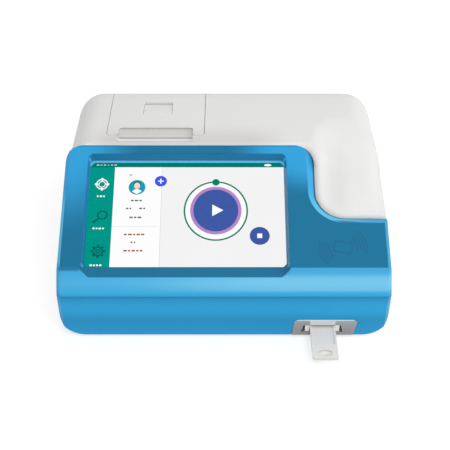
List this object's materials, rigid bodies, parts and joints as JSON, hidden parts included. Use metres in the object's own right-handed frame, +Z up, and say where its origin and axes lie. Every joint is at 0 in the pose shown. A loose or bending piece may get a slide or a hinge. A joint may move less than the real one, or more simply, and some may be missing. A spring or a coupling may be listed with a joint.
{
  "type": "immunofluorescence analyzer",
  "caption": "Benchtop immunofluorescence analyzer: white wedge case, blue sloping front with touch screen, top paper printer with hinged door, and a card tray that slides into the chin.",
  "frame": {"origin": "centre of the overall box at the plane of the feet, with the card tray out", "axes": "+Z up, -Y is the front with the screen and the card tray, +X is the viewer's right"},
  "size_m": [0.261, 0.2704, 0.115],
  "materials": {
    "blue_gloss": "smooth satin gloss",
    "white_shell": "fine satin",
    "base_white": "fine matt",
    "black_plastic": "matt",
    "rocker_black": "gloss",
    "foot_rubber": "matt",
    "platen_rubber": "ground",
    "screen_glass": "clear, smooth",
    "lcd_front": "lit screen",
    "steel_sheet": "bent sheet",
    "steel_pin": "ground",
    "screw_steel": "zinc plated",
    "entry_silver": "silvery plated plate",
    "tray_plastic": "satin, light grey",
    "nylon": "natural nylon",
    "motor_can": "black can",
    "motor_steel": "drawn can",
    "optics_black": "black anodised look",
    "lens_glass": "polished",
    "board_green": "solder mask",
    "chip_black": "moulded",
    "port_steel": "plated shell",
    "head_ceramic": "glazed heater",
    "thermal_paper": "smooth",
    "ribbon": "flat cable"
  },
  "bodies": {
    "case": {"front_cover": "blue_gloss", "top_housing": "white_shell", "base_pan": "base_white", "rubber_feet": "foot_rubber", "base_screws": "screw_steel", "touch_glass": "screen_glass", "lcd_panel": "lcd_front", "display_bracket": "steel_sheet", "display_screws": "screw_steel", "entry_bezel": "entry_silver", "tray_rail_left": "nylon", "tray_rail_right": "nylon", "reader_deck": "steel_sheet", "deck_screws": "screw_steel", "motor_bracket": "steel_sheet", "tray_motor": "motor_can", "optics_bridge": "steel_sheet", "optics_housing": "optics_black", "objective_lens": "lens_glass", "light_source": "board_green", "detector_board": "board_green", "home_sensor": "black_plastic", "card_reader_board": "board_green", "door_hinge_pin": "steel_pin", "printer_side_plate": "steel_sheet", "printer_motor": "motor_steel", "print_head": "head_ceramic", "tear_bar": "steel_sheet", "paper_bay": "black_plastic", "main_board": "board_green", "board_chips": "chip_black", "board_screws": "screw_steel", "usb_ports": "port_steel", "lan_port": "port_steel", "serial_port": "port_steel", "dc_inlet": "black_plastic", "switch_body": "black_plastic", "speaker": "chip_black", "display_cable": "ribbon"},
    "card_tray": {"card_tray": "tray_plastic"},
    "tray_pinion": {"tray_pinion": "nylon", "pinion_shaft": "steel_pin"},
    "printer_door": {"printer_door": "white_shell", "latch_pin": "steel_pin"},
    "door_latch": {"door_latch": "white_shell"},
    "platen": {"platen_roller": "platen_rubber", "platen_shaft": "steel_pin", "platen_gear": "nylon"},
    "idler_gear": {"idler_gear": "nylon"},
    "drive_gear": {"drive_gear": "nylon", "drive_shaft": "steel_pin"},
    "paper_roll": {"paper_roll": "thermal_paper"},
    "power_rocker": {"power_rocker": "rocker_black"}
  },
  "joints": [
    {"name": "card_tray_slide", "type": "slide", "parent": "case", "child": "card_tray", "axis": [0, 1, 0], "range_m": [0, 0.038]},
    {"name": "tray_pinion_spin", "type": "hinge", "parent": "case", "child": "tray_pinion", "pos_m": [0.102, 0.0438, 0.009], "axis": [0, 0, 1], "range_deg": [-366, 2]},
    {"name": "printer_door_hinge", "type": "hinge", "parent": "case", "child": "printer_door", "pos_m": [-0.05775, 0.1054, 0.10598], "axis": [-1, 0, 0], "range_deg": [0, 85]},
    {"name": "door_latch_lift", "type": "hinge", "parent": "printer_door", "child": "door_latch", "pos_m": [-0.05775, 0.0614, 0.1135], "axis": [1, 0, 0], "range_deg": [0, 30], "stiffness_Nm_per_rad": 0.01, "springref_deg": -5.73},
    {"name": "platen_spin", "type": "hinge", "parent": "printer_door", "child": "platen", "pos_m": [-0.05775, 0.0291, 0.104], "axis": [1, 0, 0], "continuous": true},
    {"name": "idler_spin", "type": "hinge", "parent": "case", "child": "idler_gear", "pos_m": [-0.0203, 0.0291, 0.094], "axis": [1, 0, 0], "continuous": true},
    {"name": "drive_spin", "type": "hinge", "parent": "case", "child": "drive_gear", "pos_m": [-0.0203, 0.0336, 0.08621], "axis": [1, 0, 0], "continuous": true},
    {"name": "paper_roll_spin", "type": "hinge", "parent": "case", "child": "paper_roll", "pos_m": [-0.05755, 0.0658, 0.0863], "axis": [1, 0, 0], "continuous": true},
    {"name": "power_rocker_tilt", "type": "hinge", "parent": "case", "child": "power_rocker", "pos_m": [0.096, 0.1313, 0.024], "axis": [0, 0, -1], "range_deg": [0, 20]}
  ],
  "couplings": [
    {"joint": "tray_pinion_spin", "follows": "card_tray_slide", "rad_per_m": -166.67},
    {"joint": "idler_spin", "follows": "platen_spin", "ratio": -0.66667},
    {"joint": "drive_spin", "follows": "platen_spin", "ratio": 1.3333}
  ]
}
